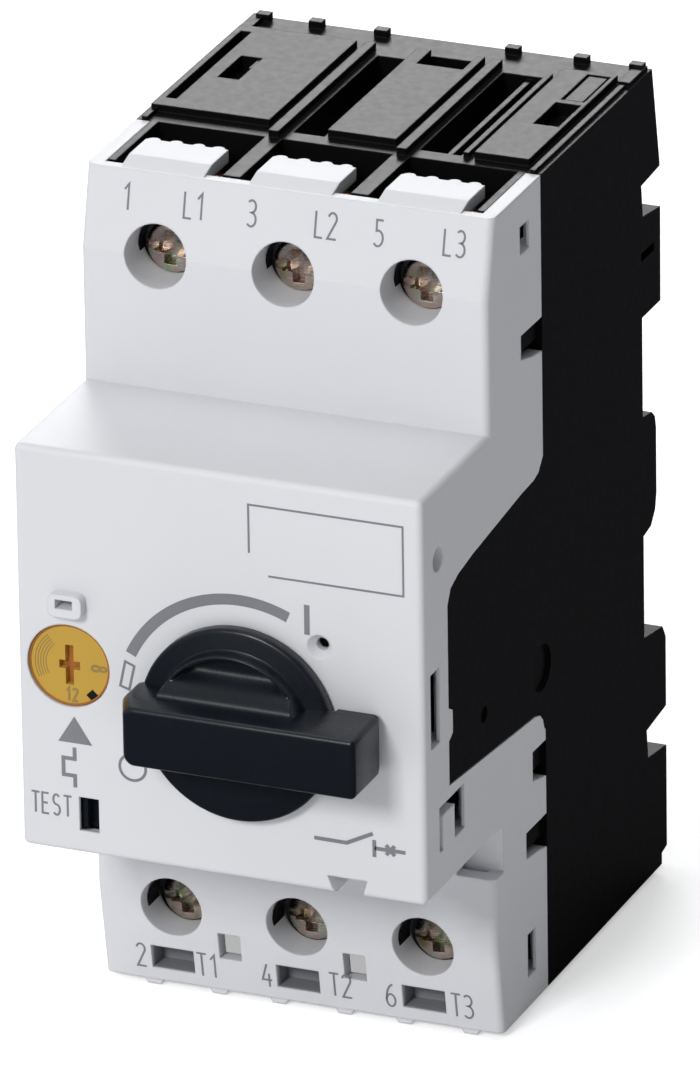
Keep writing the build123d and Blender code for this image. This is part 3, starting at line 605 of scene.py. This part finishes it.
# Depth, half length, half width, taper and turn of the slot, the cross and its small corner cuts
RECESS_CUTS = (
    (0.85, 3.6, 0.42, 0.1, 0),
    (1.45, 2.0, 0.72, 0.55, 0),
    (1.45, 2.0, 0.72, 0.55, 90),
    (0.9, 1.15, 0.8, 0.3, 45),
)
SCREW_TURNS = {"line": (-3, 2, 1), "load": (4, -2, 3)}
for row, turns in SCREW_TURNS.items():
    for pole, turn in zip(POLES, turns):
        screw(f"{row}_screw_head_{pole}", f"{row}_screw_{pole}", f"{row}_screw_body_{pole}", turn)


# --- Painted shade lining the marker pockets, and dark sleeves in the screw holes -----------------------

SHADE_TRAY_FRONT_Y = -41.2
SHADE_TRAY_BACK_Y = -38.65


def pocket_shade_tray(pole_x):
    """Thin darker grey tray that lines a marker pocket: painted shade in the pocket."""
    x0, x1, z0, z1 = pole_x - 2.78, pole_x + 2.03, -44.43, -41.72
    wall = 0.1
    rings = []
    floor_y = SHADE_TRAY_BACK_Y - wall
    for y, inset in ((SHADE_TRAY_BACK_Y, 0), (SHADE_TRAY_FRONT_Y, 0), (SHADE_TRAY_FRONT_Y, wall), (floor_y, wall)):
        left, right = x0 + inset, x1 - inset
        low, high = z0 + inset, z1 - inset
        corners = ((left, low), (right, low), (right, high), (left, high))
        rings.append([Vector((x, y, z)) * MM for x, z in corners])
    builder = bmesh.new()
    add_rings(builder, rings)
    return builder


for pole in POLES:
    screw_low, screw_high = node_box(f"load_screw_{pole}")
    new_piece(f"marker_pocket_shade_{pole}", pocket_shade_tray((screw_low.x + screw_high.x) / 2), pocket_shade_look,
              "housing")

# Front face of the dark sleeve in each row of screw holes, and its shared sizes
SLEEVE_FRONTS = {"line": -39.7, "load": -41.0}
SLEEVE_R = 3.44
SLEEVE_WALL = 0.12
SLEEVE_BACK_Y = -38.0
for row, sleeve_front in SLEEVE_FRONTS.items():
    for pole in POLES:
        screw_low, screw_high = node_box(f"{row}_screw_{pole}")
        centre_x, centre_z = (screw_low.x + screw_high.x) / 2, (screw_low.z + screw_high.z) / 2
        sleeve = bmesh.new()
        sleeve_rings = lathe_rings(centre_x, centre_z, [
            (SLEEVE_R, SLEEVE_BACK_Y), (SLEEVE_R, sleeve_front), (SLEEVE_R - SLEEVE_WALL, sleeve_front),
            (SLEEVE_R - SLEEVE_WALL, SLEEVE_BACK_Y),
        ], 64)
        add_rings(sleeve, sleeve_rings + sleeve_rings[:1], close_start=False, close_end=False)
        bmesh.ops.remove_doubles(sleeve, verts=sleeve.verts, dist=1e-8)
        sleeve_name = f"{row}_hole_sleeve_{pole}"
        sleeve_piece = new_piece(sleeve_name, sleeve, black_plastic, "housing")
        shade_by_angle(sleeve_piece, 40)


# --- Print on the cover ---------------------------------------------------------------------------

# Faces that carry print: a point on each and the slope of the face
cap_panel = Panel(CAP_Y, 0.0, 0.0, 1.0)
upper_panel = Panel(-43.4, 37.2, 2.0, 8.5)
lower_panel = Panel(-42.9, -35.0, -1.8, 10.9)
FINE = 0.22
BOLD = 0.42


def printed(name, draw, material=None, body="housing"):
    """Piece made of print drawn by a function."""
    builder = bmesh.new()
    draw(builder)
    return new_piece(name, builder, material or print_ink, body)


def draw_scale_arc(builder):
    add_ribbon(builder, cap_panel, arc(GRIP_X, GRIP_Z, 13.4, 13.4, 155.5, 66.5, 60), 1.2)


def draw_on_mark(builder):
    add_ribbon(builder, cap_panel, [(9.78, 6.05), (9.78, 9.35)], 0.6)


def draw_off_mark(builder):
    add_ribbon(builder, cap_panel, arc(-9.91, -11.85, 1.45, 1.45, 0, 360, 48)[:-1], 0.3, closed=True)


def draw_trip_mark(builder):
    corners = [(-11.1, -2.8), (-10.5, 0.0), (-9.5, -0.4), (-10.1, -3.1)]
    add_ribbon(builder, cap_panel, corners, 0.26, closed=True)


def draw_pointer(builder):
    add_patch(builder, cap_panel, [(-16.35, -7.1), (-18.2, -10.1), (-14.4, -10.1)])


def draw_thermal_mark(builder):
    add_ribbon(builder, cap_panel, [
        (-16.4, -10.6), (-16.4, -11.9), (-17.68, -11.9), (-17.68, -13.8), (-16.4, -13.8), (-16.4, -15.1),
    ], BOLD)


def draw_test_word(builder):
    add_text(builder, cap_panel, "TEST", -19.15, -17.38, 2.3, FINE)


def draw_label_frame(builder):
    corners = [(3.5, 14.2), (3.5, 19.55), (20.45, 19.55), (20.45, 11.9), (5.6, 11.9)]
    add_ribbon(builder, cap_panel, corners, FINE)


def draw_switch_mark(builder):
    add_ribbon(builder, cap_panel, [(10.2, -16.55), (13.8, -16.58), (16.7, -15.1)], BOLD)
    add_ribbon(builder, cap_panel, [(16.85, -15.8), (16.85, -17.7)], BOLD)
    add_ribbon(builder, cap_panel, [(16.9, -16.7), (20.3, -16.7)], BOLD)
    add_ribbon(builder, cap_panel, [(18.15, -16.15), (19.1, -17.25)], BOLD, rise=PRINT_RISE + LAP_RISE)
    add_ribbon(builder, cap_panel, [(19.1, -16.15), (18.15, -17.25)], BOLD, rise=PRINT_RISE + 2 * LAP_RISE)


LINE_WORDS = [("1", -17.66, 42.89), ("L1", -10.2, 42.88), ("3", -3.85, 42.95), ("L2", 4.35, 42.8),
              ("5", 10.23, 42.75), ("L3", 18.52, 42.8)]
LOAD_WORDS = [("2", -18.2, -43.1), ("T1", -10.6, -43.15), ("4", -3.95, -43.2), ("T2", 4.4, -43.0),
              ("6", 10.04, -43.2), ("T3", 18.1, -43.15)]


def draw_line_words(builder):
    for word, x, z in LINE_WORDS:
        add_text(builder, upper_panel, word, x, z, 2.65, FINE)


def draw_load_words(builder):
    for word, x, z in LOAD_WORDS:
        add_text(builder, lower_panel, word, x, z, 2.75, FINE)


for print_name, draw_print in (
    ("print_scale_arc", draw_scale_arc),
    ("print_on_mark", draw_on_mark),
    ("print_off_mark", draw_off_mark),
    ("print_trip_mark", draw_trip_mark),
    ("print_pointer", draw_pointer),
    ("print_thermal_mark", draw_thermal_mark),
    ("print_test_word", draw_test_word),
    ("print_label_frame", draw_label_frame),
    ("print_switch_mark", draw_switch_mark),
    ("print_line_words", draw_line_words),
    ("print_load_words", draw_load_words),
):
    printed(print_name, draw_print)

# --- Dial print, and painted shade in the dial's slot and round its edge ---------------------------

dial_panel = Panel(dial_low.y, 0.0, 0.0, 1.0)
slot_panel = Panel(dial_low.y + 0.8, 0.0, 0.0, 1.0)


def draw_dial_numbers(builder):
    add_text(builder, dial_panel, "8", DIAL_X + 3.3, DIAL_Z, 1.65, 0.25, turn=-90)
    add_text(builder, dial_panel, "12", DIAL_X + 0.2, DIAL_Z - 3.3, 1.4, 0.25)
    for radius in (2.65, 2.95, 3.25, 3.55, 3.85):
        add_ribbon(builder, dial_panel, arc(DIAL_X, DIAL_Z, radius, radius, 128, 208, 24), 0.08)


def draw_dial_mark(builder):
    cx, cz = DIAL_X + 2.5, DIAL_Z - 3.1
    add_patch(builder, dial_panel, [
        (cx - 0.7, cz), (cx, cz + 0.7), (cx + 0.65, cz + 0.1), (cx - 0.05, cz - 0.6),
    ])


# Dark patches on the floor of the dial's cross slot: painted shade in the recess
def draw_slot_shade(builder):
    add_patch(builder, slot_panel, [
        (DIAL_X - 0.45, DIAL_Z + 2.2), (DIAL_X - 0.45, DIAL_Z - 2.2),
        (DIAL_X + 0.45, DIAL_Z - 2.2), (DIAL_X + 0.45, DIAL_Z + 2.2),
    ])
    add_patch(builder, slot_panel, [
        (DIAL_X - 1.15, DIAL_Z + 0.45), (DIAL_X - 1.15, DIAL_Z - 0.45),
        (DIAL_X - 0.5, DIAL_Z - 0.45), (DIAL_X - 0.5, DIAL_Z + 0.45),
    ])
    add_patch(builder, slot_panel, [
        (DIAL_X + 0.5, DIAL_Z + 0.45), (DIAL_X + 0.5, DIAL_Z - 0.45),
        (DIAL_X + 1.15, DIAL_Z - 0.45), (DIAL_X + 1.15, DIAL_Z + 0.45),
    ])


printed("dial_numbers", draw_dial_numbers, dial_ink, "dial_body")
printed("dial_mark", draw_dial_mark, mark_ink, "dial_body")
printed("dial_slot_shade_patches", draw_slot_shade, dial_painted_shade, "dial_body")
# Thin dark ring round the dial's edge: painted shade in the gap between dial and cap
gap_shade_builder = bmesh.new()
rim_y = dial_low.y
gap_shade_rings = lathe_rings(DIAL_X, DIAL_Z, [
    (DIAL_R - 0.25, rim_y + 0.1), (DIAL_R - 0.25, rim_y - 0.06), (DIAL_R - 0.15, rim_y - 0.1),
    (DIAL_R - 0.02, rim_y - 0.04), (DIAL_R - 0.02, rim_y + 0.1),
], 96)
add_rings(gap_shade_builder, gap_shade_rings + gap_shade_rings[:1], close_start=False, close_end=False)
bmesh.ops.remove_doubles(gap_shade_builder, verts=gap_shade_builder.verts, dist=1e-8)
dial_gap_shade_ring = new_piece("dial_gap_shade_ring", gap_shade_builder, dial_painted_shade, "dial_body")
shade_by_angle(dial_gap_shade_ring, 60)

# --- Floor, lights and camera ------------------------------------------------------------------------

floor_builder = bmesh.new()
FLOOR_HALF = 3.0
FLOOR_GLOW = 0.45
FLOOR_IN_REFLECTIONS = (0.10, 0.10, 0.11)
FLOOR_CORNERS = ((-1, -1), (1, -1), (1, 1), (-1, 1))
floor_rings = []
for depth in (0.02, 0.0001):
    height = FLOOR_Z * MM - depth
    floor_rings.append([Vector((x * FLOOR_HALF, y * FLOOR_HALF, height)) for x, y in FLOOR_CORNERS])
add_rings(floor_builder, floor_rings)
floor_mesh = bpy.data.meshes.new("floor")
bmesh.ops.recalc_face_normals(floor_builder, faces=floor_builder.faces)
floor_builder.to_mesh(floor_mesh)
floor_builder.free()
floor = bpy.data.objects.new("floor", floor_mesh)
SCENE.collection.objects.link(floor)
floor_shader = Shader("pale_floor")
floor_tint = floor_shader.ramp(floor_shader.noise(0.004, 2.0), [
    (0.3, (0.90, 0.90, 0.905)), (0.7, (0.92, 0.92, 0.925)),
])
floor_shader.main.inputs["Roughness"].default_value = 0.9
floor_shader.main.inputs["Specular IOR Level"].default_value = 0.1
# The floor glows when seen directly and is dim in reflections, so that dark sides stay dark
floor_nodes = floor_shader.material.node_tree.nodes
floor_rays = floor_nodes.new("ShaderNodeLightPath")
floor_colour = floor_shader.mix(floor_rays.outputs["Is Glossy Ray"], floor_tint, FLOOR_IN_REFLECTIONS)
floor_shader.link(floor_colour, floor_shader.main.inputs["Base Color"])
floor_glow = floor_nodes.new("ShaderNodeMath")
floor_glow.operation = "MULTIPLY"
floor_glow.inputs[1].default_value = FLOOR_GLOW
floor_shader.link(floor_rays.outputs["Is Camera Ray"], floor_glow.inputs[0])
floor_shader.main.inputs["Emission Color"].default_value = (1.0, 1.0, 1.0, 1.0)
floor_shader.link(floor_glow.outputs["Value"], floor_shader.main.inputs["Emission Strength"])
floor.data.materials.append(floor_shader.material)

ROOM_LEFT = 0.50
ROOM_RIGHT = 0.14
world = bpy.data.worlds.new("studio")
world.use_nodes = True
sky = world.node_tree.nodes["Background"]
sky.inputs["Color"].default_value = (0.96, 0.98, 1.0, 1.0)
# The room is darker on the right of the object
sky_place = world.node_tree.nodes.new("ShaderNodeTexCoord")
sky_axes = world.node_tree.nodes.new("ShaderNodeSeparateXYZ")
sky_fade = world.node_tree.nodes.new("ShaderNodeMapRange")
sky_fade.inputs["From Min"].default_value = -0.2
sky_fade.inputs["From Max"].default_value = 0.8
sky_fade.inputs["To Min"].default_value = ROOM_LEFT
sky_fade.inputs["To Max"].default_value = ROOM_RIGHT
world.node_tree.links.new(sky_place.outputs["Generated"], sky_axes.inputs[0])
world.node_tree.links.new(sky_axes.outputs["X"], sky_fade.inputs["Value"])
world.node_tree.links.new(sky_fade.outputs["Result"], sky.inputs["Strength"])
SCENE.world = world
SCENE.view_settings.view_transform = "Standard"

CENTRE = Vector((0.0, -0.03, 0.0))


def softbox(name, offset, width, height, power):
    """Rectangular area light that faces the object."""
    light = bpy.data.lights.new(name, "AREA")
    light.shape = "RECTANGLE"
    light.size = width
    light.size_y = height
    light.energy = power
    lamp = bpy.data.objects.new(name, light)
    SCENE.collection.objects.link(lamp)
    lamp.location = CENTRE + Vector(offset)
    lamp.rotation_euler = (-Vector(offset)).to_track_quat("-Z", "Y").to_euler()


softbox("key_light", (-0.16, -1.05, 0.64), 0.28, 0.28, 7.6)
softbox("top_light", (-0.10, 0.15, 1.30), 0.6, 0.6, 3.6)
softbox("back_light", (-0.48, 1.15, 0.55), 0.7, 0.35, 7.0)

# Long lens from the front right and above; the eye stands off the origin by these millimetres
SENSOR_MM = 36.0
IMAGE_HEIGHT = 1066.0
FOCAL_LENGTH = 15000.0
AZIMUTH = math.radians(22.587)
ELEVATION = math.radians(23.179)
ROLL = math.radians(-0.876)
SIDE, RISE, DISTANCE = 10.055, 8.231, 1586.84

forward = Vector((
    -math.sin(AZIMUTH) * math.cos(ELEVATION),
    math.cos(AZIMUTH) * math.cos(ELEVATION),
    -math.sin(ELEVATION),
))
level = Vector((math.cos(AZIMUTH), math.sin(AZIMUTH), 0.0))
upward = level.cross(forward)
right = level * math.cos(ROLL) + upward * math.sin(ROLL)
up = upward * math.cos(ROLL) - level * math.sin(ROLL)
eye = -(right * SIDE + up * RISE + forward * DISTANCE) * MM
camera_data = bpy.data.cameras.new("camera")
camera_data.sensor_width = SENSOR_MM
camera_data.lens = FOCAL_LENGTH * SENSOR_MM / IMAGE_HEIGHT
camera_data.clip_start = 0.01
camera_data.clip_end = 20.0
camera = bpy.data.objects.new("camera", camera_data)
SCENE.collection.objects.link(camera)
camera.matrix_world = Matrix.Translation(eye) @ Matrix((right, up, -forward)).transposed().to_4x4()
SCENE.camera = camera
